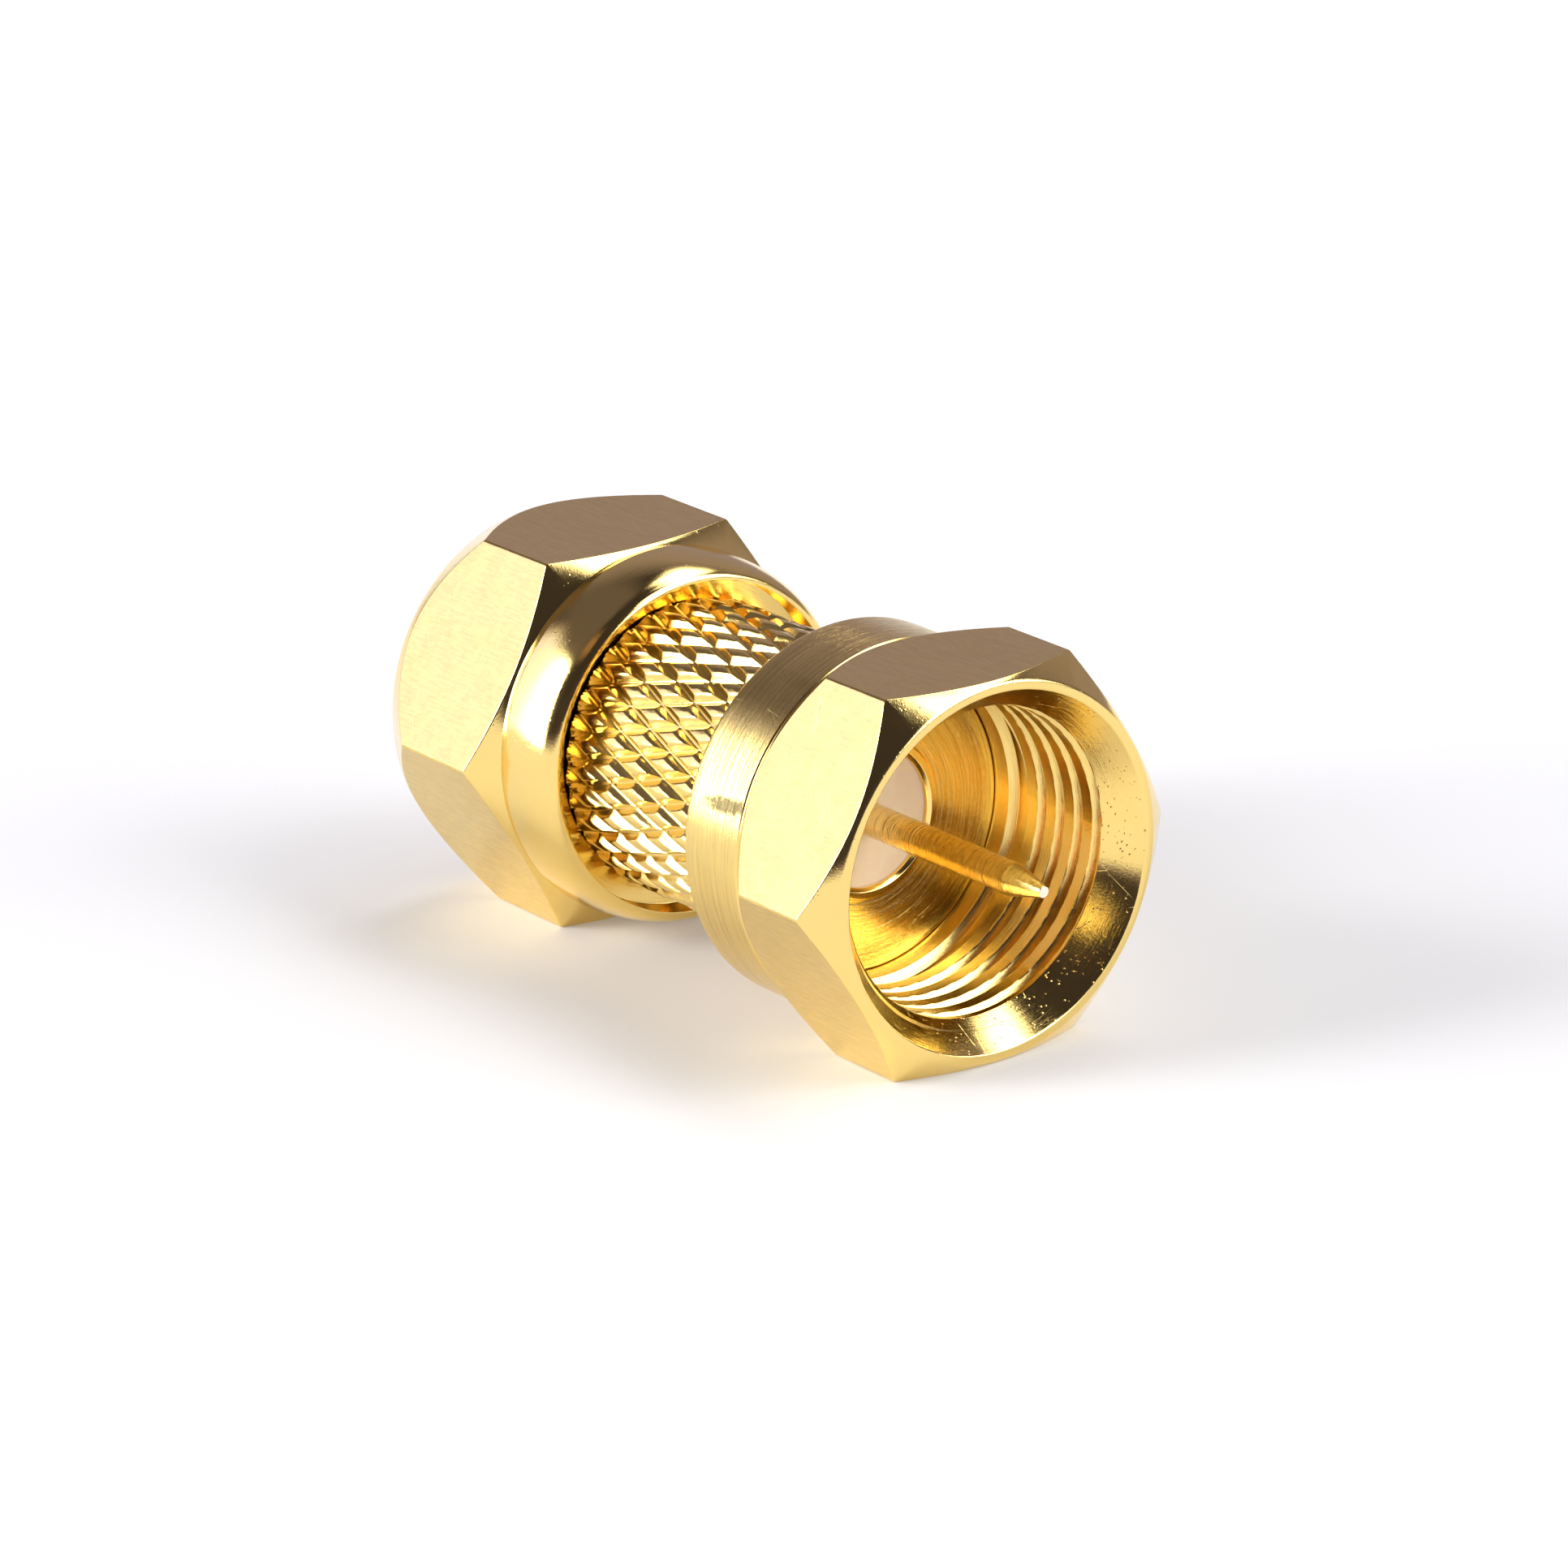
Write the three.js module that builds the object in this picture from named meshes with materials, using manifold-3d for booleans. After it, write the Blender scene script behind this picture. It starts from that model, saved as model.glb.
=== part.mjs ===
// Coaxial plug-to-plug adapter, screw-on type (two free-spinning coupling nuts
// on a knurled barrel, one straight centre pin running right through).
//
// Frame: millimetres. +X is the connector axis, towards end A. +Z is up, with
// one flat of each hexagon facing straight down. The origin is on the axis,
// half way between the two pin tips.
//
// The parts of both ends are drawn for end A, so "front" is +X and "rear" is
// towards the barrel. End B gets them turned half round about Z.
// An _X value is a place along X, an _R value is a radius.
import * as THREE from 'three';
import { mergeVertices } from 'three/addons/utils/BufferGeometryUtils.js';
import Module from 'manifold-3d';

const wasm = await Module();
wasm.setup();

// ---------------------------------------------------------------- dimensions
const SEGMENTS = 48;            // facets round every turned surface

// knurled barrel, the same at both ends
const KNURL_STARTS = 34;        // teeth round the barrel, each hand
const KNURL_HALF = 1.17;        // half the length of one diamond, along X
const KNURL_TIP_R = 4.33;       // flat tops of the diamonds
const KNURL_ROOT_R = 4.10;      // bottom of the grooves
const KNURL_X = 0.78;           // middle of one diamond, along X
const KNURL_ANGLE = 181.7;      // and round the axis, degrees from +Y to +Z
const KNURL_CHAMFER = 0.12;     // length of the chamfer at both ends of the knurl
const KNURL_EDGE_R = 4.02;      // edge of the end faces
const BARREL_END_X = 3.72;      // end face of the knurled length
const NECK_R = 3.4;             // plain neck a nut turns on
const NECK_END_X = 4.31;
const BARREL_BORE_R = 2.92;     // pressed over the post sleeve
const BARREL_STEP_X = 1.55;     // inner end of the press bore
const BARREL_MID_R = 2.08;      // bore of the web in the middle

// posts (flanged bushings, one per end)
const SEAT_X = 4.93;            // seating face for the mating port
const FLANGE_BACK_X = 4.33;
const FLANGE_R = 4.25;
const FLANGE_CHAMFER = 0.15;
const SLEEVE_R = 2.9;
const SLEEVE_END_X = 1.6;
const SLEEVE_CHAMFER = 0.12;
const POST_BORE_R = 2.07;
const LIP_R = 2.32;             // raised lip staked over the insulator
const LIP_X = 5.03;
const LIP_INNER_R = 1.99;
const LIP_TAPER = 0.06;         // the outside narrows by this towards the top
const LIP_CHAMFER = { length: 0.06, depth: 0.05 }; // inner edge: along X, radial
const LIP_GAP = 0.02;           // between the lip and the insulator

// insulators
const INSULATOR_R = 2.05;
const INSULATOR_FRONT_X = 4.84; // recessed behind the seating face
const INSULATOR_REAR_X = 0.9;
const INSULATOR_BORE_R = 0.495;
const INSULATOR_CHAMFER = 0.1;

// centre pin
const PIN_R = 0.475;
const PIN_TIP_X = 12.56;        // flat end of the pin
const PIN_TIP_R = 0.155;
const PIN_CONE_X = 11.2;        // start of the taper
const COLLAR_R = 1.1;           // collar trapped between the insulators
const COLLAR_X = 0.88;

// coupling nuts, common
const HEX_AF = 11.0;            // across flats
const HEX_FLAT_R = HEX_AF / 2;
const HEX_CORNER_R = HEX_AF / Math.sqrt(3);
const NUT_FRONT_X = 10.68;
const MOUTH_R = 5.16;
const FRONT_RIM = 0.1;          // width of the flat front face
const FRONT_EDGE = 0.05;        // length of the edge break round it
const THREAD_MAJOR_R = 4.80;    // 3/8-32 UNEF, internal
const THREAD_MINOR_R = 4.40;
const THREAD_PITCH = 0.79375;
const THREAD_START_X = 6.2;
const THREAD_END_X = 10.2;      // the roots run out into the cone here
const THREAD_TURN = 0.326;      // part of a pitch from THREAD_START_X to a crest, at angle 0
const CREST_WIDTH = 0.22;       // part of a pitch
const LEAD_X = 9.635;           // the lead-in cone meets the thread's crests here
const RELIEF_R = 4.76;
const RELIEF_X = 5.63;
const CHAMBER_R = 4.46;         // clears the post flange
const SHOULDER_FRONT_X = 4.25;  // retaining shoulder
const SHOULDER_REAR_X = 3.80;
const SHOULDER_R = 3.47;
const SKIRT_R = 4.886;          // skirt hanging over the end of the knurl

// Each nut has the outline of its collar from the rear, as [x, radius], and two
// hexagon chamfers: cones through the flats at flatX and the corners at cornerX.
// nut A: plain cylindrical collar, short hexagon
const NUT_A = {
  collar: [
    [3.60, 5.14], [3.66, 5.30], [3.78, 5.43], [3.95, 5.48], [6.08, 5.48],
    [6.12, 5.43], [6.18, 5.43],
  ],
  rearChamfer: { flatX: 6.18, cornerX: 7.34 },
  frontChamfer: { flatX: 10.55, cornerX: 9.87 },
};
// nut B: collar rounded over towards the barrel, longer hexagon
const NUT_B = {
  collar: [
    [2.94, 4.93], [3.02, 5.05], [3.20, 5.17], [3.50, 5.29], [3.85, 5.38],
    [4.25, 5.44], [4.87, 5.47], [4.90, 5.40], [5.12, 5.40],
  ],
  rearChamfer: { flatX: 5.21, cornerX: 5.69 },
  frontChamfer: { flatX: 10.30, cornerX: 8.72 },
};

// ----------------------------------------------------------------- materials
function gold(color, roughness) {
  return new THREE.MeshStandardMaterial({ color, roughness, metalness: 1.0 });
}

function plastic() {
  return new THREE.MeshStandardMaterial({ color: 0xdfc6b2, roughness: 0.55, metalness: 0.0 });
}

// ------------------------------------------------------------------- helpers
function fromTriangles(positions, index) {
  const geometry = new THREE.BufferGeometry();
  const array = Float32Array.from(positions);
  geometry.setAttribute('position', new THREE.BufferAttribute(array, 3));
  geometry.setIndex(new THREE.BufferAttribute(Uint32Array.from(index), 1));
  return geometry;
}

function toManifold(geometry) {
  // normals and uvs would keep the vertices along a seam apart
  geometry.deleteAttribute('normal');
  geometry.deleteAttribute('uv');
  const merged = mergeVertices(geometry, 1e-5);
  return new wasm.Manifold(new wasm.Mesh({
    numProp: 3,
    vertProperties: Float32Array.from(merged.getAttribute('position').array),
    triVerts: Uint32Array.from(merged.index.array),
  }));
}

// flat-shaded geometry of a solid
function toGeometry(solid) {
  const { vertProperties, triVerts } = solid.getMesh();
  const flat = fromTriangles(vertProperties, triVerts).toNonIndexed();
  flat.computeVertexNormals();
  return flat;
}

// solid of revolution about X from [x, radius] pairs; the outline closes on
// itself or starts and ends on the axis
function turned(outline) {
  const profile = outline.map(([x, radius]) => new THREE.Vector2(radius, x));
  const geometry = new THREE.LatheGeometry(profile, SEGMENTS);
  // lathe axis Y -> X, lathe start direction Z -> Y
  geometry.applyMatrix4(new THREE.Matrix4().set(
    0, 1, 0, 0,
    0, 0, 1, 0,
    1, 0, 0, 0,
    0, 0, 0, 1,
  ));
  return toManifold(geometry);
}

// the same without a bore: flat ends are added down to the axis
function turnedBar(outline) {
  return turned([[outline[0][0], 0], ...outline, [outline.at(-1)[0], 0]]);
}

// hexagonal bar along X, a flat facing straight down
function hexBar(x0, x1) {
  const corners = [
    [HEX_CORNER_R, 0], [HEX_CORNER_R / 2, HEX_FLAT_R], [-HEX_CORNER_R / 2, HEX_FLAT_R],
    [-HEX_CORNER_R, 0], [-HEX_CORNER_R / 2, -HEX_FLAT_R], [HEX_CORNER_R / 2, -HEX_FLAT_R],
  ];
  const shape = new THREE.Shape(corners.map(([y, z]) => new THREE.Vector2(y, z)));
  shape.closePath();
  const geometry = new THREE.ExtrudeGeometry(shape, { depth: x1 - x0, bevelEnabled: false });
  // extrusion axis Z -> X, shape plane XY -> YZ
  geometry.applyMatrix4(new THREE.Matrix4().set(
    0, 0, 1, x0,
    1, 0, 0, 0,
    0, 1, 0, 0,
    0, 0, 0, 1,
  ));
  return toManifold(geometry);
}

// A closed tube from rings of points round the axis, starting at `turn` radians.
// A ring is { x, radii, split }; neighbours have equally many points, or one has
// half as many. `split` says which way each quad after the ring is split.
function tubeOfRings(rings, turn) {
  const positions = [];
  const starts = [];
  for (const { x, radii } of rings) {
    starts.push(positions.length / 3);
    radii.forEach((radius, m) => {
      const angle = turn + (2 * Math.PI * m) / radii.length;
      positions.push(x, radius * Math.cos(angle), radius * Math.sin(angle));
    });
  }
  const index = [];
  rings.forEach(({ radii, split }, j) => {
    const next = (j + 1) % rings.length;
    const count = radii.length;
    const nextCount = rings[next].radii.length;
    const here = (m) => starts[j] + (m % count);
    const there = (m) => starts[next] + (m % nextCount);
    for (let m = 0; m < Math.min(count, nextCount); m += 1) {
      if (count > nextCount) {
        index.push(here(2 * m), here(2 * m + 1), there(m));
        index.push(here(2 * m + 1), there(m + 1), there(m));
        index.push(here(2 * m + 1), here(2 * m + 2), there(m + 1));
      } else if (count < nextCount) {
        index.push(here(m), there(2 * m + 1), there(2 * m));
        index.push(here(m), here(m + 1), there(2 * m + 1));
        index.push(here(m + 1), there(2 * m + 2), there(2 * m + 1));
      } else if (!split || split(m)) {
        index.push(here(m), here(m + 1), there(m + 1));
        index.push(here(m), there(m + 1), there(m));
      } else {
        index.push(here(m), here(m + 1), there(m));
        index.push(here(m + 1), there(m + 1), there(m));
      }
    }
  });
  return toManifold(fromTriangles(positions, index));
}

// -------------------------------------------------------------------- barrel
// The knurl has four points per tooth and a row of them every quarter diamond:
// row k lies k quarters from KNURL_X. On an even row every fourth point is a
// groove crossing, on an odd row every second point is a groove.
const KNURL_POINTS = KNURL_STARTS * 4;
const KNURL_STEP = KNURL_HALF / 2;

// place of point m in its tooth on even row k, 0 to 3, counted from a diamond's middle
function placeInTooth(k, m) {
  const middle = k % 4 === 0 ? 0 : 2;
  return (m - middle + 4) % 4;
}

function knurlRadii(k) {
  return Array.from({ length: KNURL_POINTS }, (_, m) => {
    const isRoot = k % 2 === 0 ? placeInTooth(k, m) === 2 : m % 2 === 1;
    return isRoot ? KNURL_ROOT_R : KNURL_TIP_R;
  });
}

// quads are split along the grooves
function knurlSplit(k) {
  const isEven = k % 2 === 0;
  const evenRow = isEven ? k : k + 1;
  return (m) => (placeInTooth(evenRow, m) < 2) !== isEven;
}

// ring at any x, between the two rows on either side
function knurlRingAt(x) {
  const k = Math.floor((x - KNURL_X) / KNURL_STEP);
  const part = (x - KNURL_X) / KNURL_STEP - k;
  const after = knurlRadii(k + 1);
  const radii = knurlRadii(k).map((radius, m) => radius * (1 - part) + after[m] * part);
  return { x, radii, split: knurlSplit(k) };
}

// knurled barrel with a plain neck at each end and a stepped through bore
function barrel() {
  const round = (x, radius, count = KNURL_POINTS / 2) => (
    { x, radii: new Array(count).fill(radius) }
  );
  const knurlEnd = BARREL_END_X - KNURL_CHAMFER;
  const rows = [];
  let k = Math.ceil((-knurlEnd - KNURL_X) / KNURL_STEP);
  for (; KNURL_X + k * KNURL_STEP < knurlEnd; k += 1) {
    rows.push({ x: KNURL_X + k * KNURL_STEP, radii: knurlRadii(k), split: knurlSplit(k) });
  }
  return tubeOfRings([
    // outside, towards +X
    round(-NECK_END_X, NECK_R),
    round(-BARREL_END_X, NECK_R),
    round(-BARREL_END_X, KNURL_EDGE_R, KNURL_POINTS),
    knurlRingAt(-knurlEnd),
    ...rows,
    { ...knurlRingAt(knurlEnd), split: undefined }, // plain chamfer after this ring
    round(BARREL_END_X, KNURL_EDGE_R, KNURL_POINTS),
    round(BARREL_END_X, NECK_R),
    round(NECK_END_X, NECK_R),
    // bore, back towards -X
    round(NECK_END_X, BARREL_BORE_R),
    round(BARREL_STEP_X, BARREL_BORE_R),
    round(BARREL_STEP_X, BARREL_MID_R),
    round(-BARREL_STEP_X, BARREL_MID_R),
    round(-BARREL_STEP_X, BARREL_BORE_R),
    round(-NECK_END_X, BARREL_BORE_R),
  ], THREE.MathUtils.degToRad(KNURL_ANGLE));
}

// ------------------------------------------------------ pin, post, insulator
function pin() {
  return turnedBar([
    [-PIN_TIP_X, PIN_TIP_R], [-PIN_CONE_X, PIN_R],
    [-COLLAR_X, PIN_R], [-COLLAR_X, COLLAR_R],
    [COLLAR_X, COLLAR_R], [COLLAR_X, PIN_R],
    [PIN_CONE_X, PIN_R], [PIN_TIP_X, PIN_TIP_R],
  ]);
}

// flanged bushing: sleeve, retaining flange, seating face, staked lip
function post() {
  const lipBackX = INSULATOR_FRONT_X + LIP_GAP;
  return turned([
    [SLEEVE_END_X, POST_BORE_R],
    [SLEEVE_END_X, SLEEVE_R - SLEEVE_CHAMFER], [SLEEVE_END_X + SLEEVE_CHAMFER, SLEEVE_R],
    [FLANGE_BACK_X, SLEEVE_R], [FLANGE_BACK_X, FLANGE_R],
    [SEAT_X - FLANGE_CHAMFER, FLANGE_R], [SEAT_X, FLANGE_R - FLANGE_CHAMFER],
    [SEAT_X, LIP_R], [LIP_X, LIP_R - LIP_TAPER],
    [LIP_X, LIP_INNER_R + LIP_CHAMFER.depth], [LIP_X - LIP_CHAMFER.length, LIP_INNER_R],
    [lipBackX, LIP_INNER_R], [lipBackX, POST_BORE_R],
    [SLEEVE_END_X, POST_BORE_R],
  ]);
}

function insulator() {
  return turned([
    [INSULATOR_REAR_X, INSULATOR_BORE_R],
    [INSULATOR_REAR_X, INSULATOR_R - INSULATOR_CHAMFER],
    [INSULATOR_REAR_X + INSULATOR_CHAMFER, INSULATOR_R],
    [INSULATOR_FRONT_X, INSULATOR_R],
    [INSULATOR_FRONT_X, INSULATOR_BORE_R],
    [INSULATOR_REAR_X, INSULATOR_BORE_R],
  ]);
}

// ------------------------------------------------------------- coupling nuts
const HEX_OVER = 0.5;           // hexagonal bar runs past the nut at each end
const BORE_OVER = 1;            // and so does the bore
const CONE_OVER = 0.3;          // chamfer cones run on past the hexagon's corners
const CORE_UNDER = 0.02;        // plain bore stays this far inside the crests
const CORE_STEP = 0.1;          // length of the step from the relief to that bore
const THREAD_CUT_R = 5.5;       // clears the thread's roots

// The air inside a right-hand internal thread along X. Each column of points
// is the thread form repeated along X, moved on by one pitch in a full turn.
function threadCore(x0, x1) {
  // one pitch as [part of the pitch, radius]: crest flat, flank, root flat, flank
  const form = [
    [0.00, THREAD_MINOR_R], [CREST_WIDTH, THREAD_MINOR_R],
    [0.55, THREAD_MAJOR_R], [0.67, THREAD_MAJOR_R],
  ];
  const turnsBefore = 2;
  const turns = Math.ceil((x1 - x0) / THREAD_PITCH) + turnsBefore;
  const shift = THREAD_TURN - turnsBefore - CREST_WIDTH / 2;
  const rows = [];
  for (let turn = 0; turn < turns; turn += 1) {
    for (const [part, radius] of form) {
      rows.push([x0 + (turn + part + shift) * THREAD_PITCH, radius]);
    }
  }
  const positions = [];
  for (let i = 0; i < SEGMENTS; i += 1) {
    const angle = (2 * Math.PI * i) / SEGMENTS;
    for (const [x, radius] of rows) {
      const along = x + (THREAD_PITCH * i) / SEGMENTS;
      positions.push(along, radius * Math.cos(angle), radius * Math.sin(angle));
    }
  }

  // the last column joins column 0 one pitch further on
  const pitchRows = form.length;
  const topRow = rows.length - 1;
  const lastColumn = SEGMENTS - 1;
  const id = (column, row) => column * rows.length + row;
  const nextId = (column, row) => (
    column === lastColumn ? id(0, row + pitchRows) : id(column + 1, row)
  );
  const index = [];
  for (let i = 0; i < SEGMENTS; i += 1) {
    const top = i === lastColumn ? topRow - pitchRows : topRow;
    for (let k = 0; k < top; k += 1) {
      index.push(id(i, k), nextId(i, k), nextId(i, k + 1));
      index.push(id(i, k), nextId(i, k + 1), id(i, k + 1));
    }
  }

  // end caps: fans from a point on the axis to the end rows and the open seam
  const capRise = 0.2;
  const low = positions.length / 3;
  const high = low + 1;
  positions.push(rows[0][0] - capRise, 0, 0);
  positions.push(rows[topRow][0] + THREAD_PITCH + capRise, 0, 0);
  const lower = [];
  const upper = [];
  for (let i = 0; i < SEGMENTS; i += 1) {
    lower.push(id(i, 0));
    upper.push(id(i, topRow));
  }
  for (let k = pitchRows; k > 0; k -= 1) lower.push(id(0, k));
  for (let k = 1; k <= pitchRows; k += 1) upper.push(id(lastColumn, topRow - k));
  lower.forEach((point, i) => index.push(low, lower[(i + 1) % lower.length], point));
  upper.forEach((point, i) => index.push(high, point, upper[(i + 1) % upper.length]));
  return toManifold(fromTriangles(positions, index));
}

// point of a hexagon chamfer's cone at x
function onChamfer({ flatX, cornerX }, x) {
  const slope = (HEX_CORNER_R - HEX_FLAT_R) / (cornerX - flatX);
  return [x, HEX_FLAT_R + (x - flatX) * slope];
}

function nut({ collar, rearChamfer, frontChamfer }) {
  const rearX = collar[0][0];
  const outside = turnedBar([
    ...collar,
    onChamfer(rearChamfer, rearChamfer.flatX),
    onChamfer(rearChamfer, rearChamfer.cornerX + CONE_OVER),
    onChamfer(frontChamfer, frontChamfer.cornerX - CONE_OVER),
    onChamfer(frontChamfer, NUT_FRONT_X - FRONT_EDGE),
    [NUT_FRONT_X, MOUTH_R + FRONT_RIM],
  ]);
  const body = outside.intersect(hexBar(rearX - HEX_OVER, NUT_FRONT_X + HEX_OVER));

  // the plain bore meets the lead-in cone a little behind LEAD_X
  const coreR = THREAD_MINOR_R - CORE_UNDER;
  const leadSlope = (NUT_FRONT_X - LEAD_X) / (MOUTH_R - THREAD_MINOR_R);
  const bore = turnedBar([
    [rearX - BORE_OVER, SKIRT_R], [SHOULDER_REAR_X, SKIRT_R],
    [SHOULDER_REAR_X, SHOULDER_R], [SHOULDER_FRONT_X, SHOULDER_R],
    [SHOULDER_FRONT_X, CHAMBER_R], [RELIEF_X, CHAMBER_R],
    [RELIEF_X, RELIEF_R], [THREAD_START_X, RELIEF_R],
    [THREAD_START_X + CORE_STEP, coreR], [LEAD_X - CORE_UNDER * leadSlope, coreR],
    [NUT_FRONT_X, MOUTH_R], [NUT_FRONT_X + BORE_OVER, MOUTH_R],
  ]);
  const thread = threadCore(THREAD_START_X, THREAD_END_X).intersect(turnedBar([
    [THREAD_START_X, THREAD_CUT_R], [THREAD_END_X, THREAD_CUT_R],
  ]));
  return body.subtract(bore.add(thread));
}

// ------------------------------------------------------------------ assembly
const root = new THREE.Group();
root.name = 'coax_plug_adapter';

function addGroup(name) {
  const group = new THREE.Group();
  group.name = name;
  root.add(group);
  return group;
}

function addMesh(group, name, geometry, material) {
  const mesh = new THREE.Mesh(geometry, material);
  mesh.name = name;
  group.add(mesh);
}

function addEnd(key, nutSpec, nutMaterial) {
  const end = addGroup(`end_${key}`);
  const place = (name, solid, material) => {
    const geometry = toGeometry(solid);
    if (key === 'b') geometry.scale(-1, -1, 1); // half a turn about Z
    addMesh(end, `${name}_${key}`, geometry, material);
  };
  place('post', post(), gold(0xd29c35, 0.32));
  place('insulator', insulator(), plastic());
  place('coupling_nut', nut(nutSpec), nutMaterial);
}

const barrelGroup = addGroup('barrel_group');
addMesh(barrelGroup, 'knurled_barrel', toGeometry(barrel()), gold(0xd9a53a, 0.28));
addMesh(barrelGroup, 'centre_pin', toGeometry(pin()), gold(0xd8a23c, 0.3));
addEnd('a', NUT_A, gold(0xe3c478, 0.3));
addEnd('b', NUT_B, gold(0xe6c97c, 0.24));

export default root;
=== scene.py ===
"""A gold-plated coaxial adapter: two hexagonal coupling nuts on a knurled barrel.

The axis lies along X with the middle of the adapter at the origin. End a points
to +X and end b to -X. Sizes are in mm unless noted; meshes are written in metres.
Pieces of end b are built at +X and then given a half turn about Z.
"""
import math
from functools import reduce
from types import SimpleNamespace

import bmesh
import bpy
import numpy as np
from mathutils import Matrix, Vector


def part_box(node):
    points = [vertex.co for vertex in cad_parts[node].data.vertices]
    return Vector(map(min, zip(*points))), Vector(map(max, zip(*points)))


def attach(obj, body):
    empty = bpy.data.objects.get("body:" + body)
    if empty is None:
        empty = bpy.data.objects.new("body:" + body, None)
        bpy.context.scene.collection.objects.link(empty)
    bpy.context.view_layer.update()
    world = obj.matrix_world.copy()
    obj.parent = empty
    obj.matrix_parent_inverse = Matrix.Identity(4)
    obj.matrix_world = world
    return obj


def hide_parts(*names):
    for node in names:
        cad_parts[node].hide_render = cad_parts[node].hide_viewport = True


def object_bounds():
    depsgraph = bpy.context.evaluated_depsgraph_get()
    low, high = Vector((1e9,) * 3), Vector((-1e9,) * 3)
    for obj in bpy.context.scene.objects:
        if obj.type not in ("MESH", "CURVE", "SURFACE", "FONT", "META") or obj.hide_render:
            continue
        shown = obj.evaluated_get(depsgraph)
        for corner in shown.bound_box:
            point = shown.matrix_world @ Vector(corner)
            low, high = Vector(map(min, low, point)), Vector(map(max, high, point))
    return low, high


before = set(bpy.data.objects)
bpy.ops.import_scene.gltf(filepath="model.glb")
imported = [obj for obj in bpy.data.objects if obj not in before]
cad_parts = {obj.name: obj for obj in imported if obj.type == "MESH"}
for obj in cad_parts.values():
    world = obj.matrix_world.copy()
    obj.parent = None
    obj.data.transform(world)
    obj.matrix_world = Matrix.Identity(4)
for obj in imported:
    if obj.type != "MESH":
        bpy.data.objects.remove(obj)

MM = 0.001
TAU = 2 * math.pi


def box_mm(node):
    low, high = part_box(node)
    return np.array(low) / MM, np.array(high) / MM


# --------------------------------------------------------------------- sizes
CAD_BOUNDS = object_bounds()
FLOOR_Z = CAD_BOUNDS[0][2]                 # metres

NUT_LOW, NUT_HIGH = box_mm("coupling_nut_a")
POST_HIGH = box_mm("post_a")[1]
INSULATOR_HIGH = box_mm("insulator_a")[1]
PIN_HIGH = box_mm("centre_pin")[1]
BARREL_HIGH = box_mm("knurled_barrel")[1]

# Coupling nuts
FRONT = float(NUT_HIGH[0])                 # front face of a nut
LIP_A = float(NUT_LOW[0])                  # rear end of each nut
LIP_B = float(-box_mm("coupling_nut_b")[1][0])
HEX_H = float(NUT_HIGH[2] - NUT_LOW[2]) / 2  # axis to a flat
HEX_R = HEX_H / math.cos(math.pi / 6)      # axis to a sharp corner
HEX_FILLET = 0.13
FLAT_COLS, CORNER_COLS = 22, 6             # mesh columns on a flat and a rounded corner
MOUTH_R = 5.16
LEAD_SLOPE = 0.727                         # of the cone that leads into the thread
LEAD_X = 10.05
RELIEF_R, RELIEF_X = 4.76, 5.63
CHAMBER_R, CHAMBER_X = 4.46, 4.25
SHOULDER_R, SHOULDER_X = 3.47, 3.80
SKIRT_R = 4.886

# Internal thread
ROOT_R, MINOR_R, PITCH = 4.68, 4.40, 0.79375
THREAD_X = 6.2                             # inner end of the thread
THREAD_TURN = 0.326                        # a crest starts this part of a pitch past it
THREAD_GROOVE_HALF = 0.235                 # half width of the groove, in pitches
THREAD_STEP = 0.018                        # between mesh rows

# Posts, insulators and pin
LIP_HEIGHT = 0.10                          # staked lip above the seating face
SEAT = float(POST_HIGH[0]) - LIP_HEIGHT
FLANGE_R = float(POST_HIGH[2]) + 0.18
INSULATOR_R = float(INSULATOR_HIGH[2])
INSULATOR_FACE = float(INSULATOR_HIGH[0])
PIN_TIP = float(PIN_HIGH[0])
PIN_MID_R = float(PIN_HIGH[2])
PIN_R = 0.475

# Barrel
KNURL_R = float(BARREL_HIGH[1])
KNURL_END = 3.72                           # half length of the knurled part
DIAMONDS = 34                              # round the barrel
DIAMOND_HALF = 1.17                        # half a diamond's length along X
DIAMOND_STEPS = 14                         # mesh steps in half a diamond, both ways
KNURL_X, KNURL_ANGLE = 0.78, math.radians(181.7)   # where two grooves cross
KNURL_DEPTH = 0.225
KNURL_FLOOR, KNURL_LAND = 0.02, 0.27       # groove floor and land edge, in diamond widths
KNURL_DOME = 0.030                         # drop of a diamond's top towards its edges
KNURL_RIM_R, KNURL_RIM_SLOPE = 4.10, 1.1   # chamfer at both ends
NECK_END, NECK_R = float(BARREL_HIGH[0]), 3.4
BARREL_BORE_R = 2.92
WEB_X, WEB_R = 1.55, 2.08                  # narrow middle of the bore


# ------------------------------------------------------------- mesh building
def rounded(points, radii, steps):
    """Rounds each corner of a closed profile, points (columns, corners, (x, r)).

    Returns rows (columns, rows, 2) and the corner that each row belongs to.
    """
    count = points.shape[1]
    rows, owner = [], []
    for k in range(count):
        corner = points[:, k]
        if radii[k] <= 0 or steps[k] == 0:
            rows.append(corner)
            owner.append(k)
            continue
        before = points[:, k - 1] - corner
        after = points[:, (k + 1) % count] - corner
        before_len = np.linalg.norm(before, axis=1, keepdims=True)
        after_len = np.linalg.norm(after, axis=1, keepdims=True)
        before = before / np.maximum(before_len, 1e-9)
        after = after / np.maximum(after_len, 1e-9)
        cosine = np.clip((before * after).sum(1, keepdims=True), -1, 1)
        reach = radii[k] / np.maximum(np.tan(np.arccos(cosine) / 2), 1e-6)
        reach = np.minimum(reach, np.minimum(before_len, after_len) * 0.45)
        start, end = corner + before * reach, corner + after * reach
        for i in range(steps[k] + 1):
            f = i / steps[k]
            rows.append((1 - f) ** 2 * start + 2 * f * (1 - f) * corner + f * f * end)
            owner.append(k)
    return np.stack(rows, 1), owner


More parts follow.
